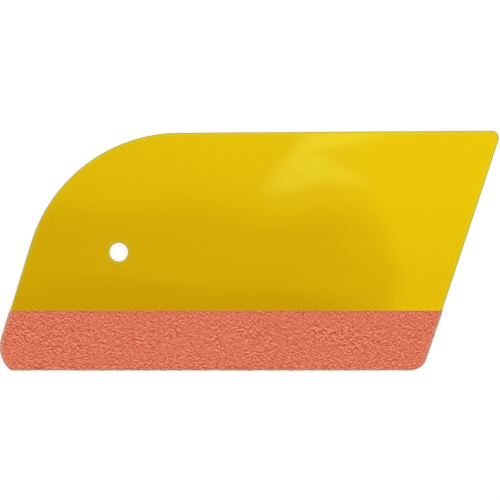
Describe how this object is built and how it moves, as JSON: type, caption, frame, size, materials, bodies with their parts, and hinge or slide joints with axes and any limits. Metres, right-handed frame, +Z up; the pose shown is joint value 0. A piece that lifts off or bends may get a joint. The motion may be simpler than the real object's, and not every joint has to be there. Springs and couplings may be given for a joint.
{
  "type": "film squeegee",
  "caption": "Flat flexible plastic hand squeegee with a curved palm corner, a suede-wrapped working edge and a hanging hole, for smoothing vinyl film.",
  "frame": {"origin": "centre of the bounding box at its lowest level, which is the lower face of the suede as the squeegee lies flat", "axes": "+X along the working edge, towards the pointed back corner; +Y from the suede working edge to the back edge; +Z up, out of the broad face that the picture shows"},
  "size_m": [0.15, 0.0722, 0.0041],
  "materials": {
    "blade_plastic": "smooth, softly glossy, slightly translucent yellow flexible plastic",
    "suede": "coral red microfibre suede with a short mottled nap",
    "tape": "clear to milky acrylic transfer adhesive"
  },
  "bodies": {
    "root": {"blade": "blade_plastic", "suede_strip": "suede", "upper_tape": "tape", "lower_tape": "tape"}
  },
  "joints": []
}
